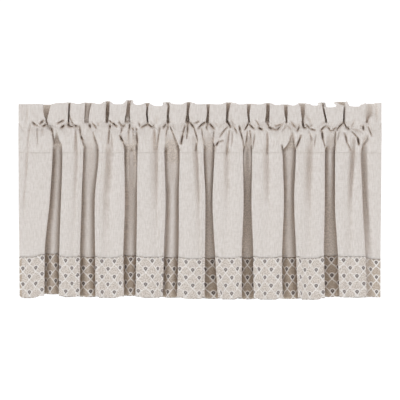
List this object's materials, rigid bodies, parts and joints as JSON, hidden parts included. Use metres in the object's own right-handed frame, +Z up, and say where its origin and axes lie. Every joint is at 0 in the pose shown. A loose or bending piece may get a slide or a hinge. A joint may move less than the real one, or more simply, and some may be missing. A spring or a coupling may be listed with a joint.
{
  "type": "window valance",
  "caption": "Gathered linen window valance: a doubled frill above an open rod pocket, a skirt in deep uneven folds and a patterned border band along the hem.",
  "frame": {"origin": "on the axis of the rod pocket, midway along it", "axes": "+Z up, +X to the right as seen from the front, the front towards -Y"},
  "size_m": [0.7514, 0.0381, 0.4158],
  "materials": {
    "linen_heading": "matt slubbed linen, two layers",
    "linen_skirt": "matt slubbed linen, one layer",
    "printed_border": "matt linen with a small printed trellis"
  },
  "bodies": {
    "root": {"heading": "linen_heading", "panel": "linen_skirt", "border_band": "printed_border"}
  },
  "joints": []
}
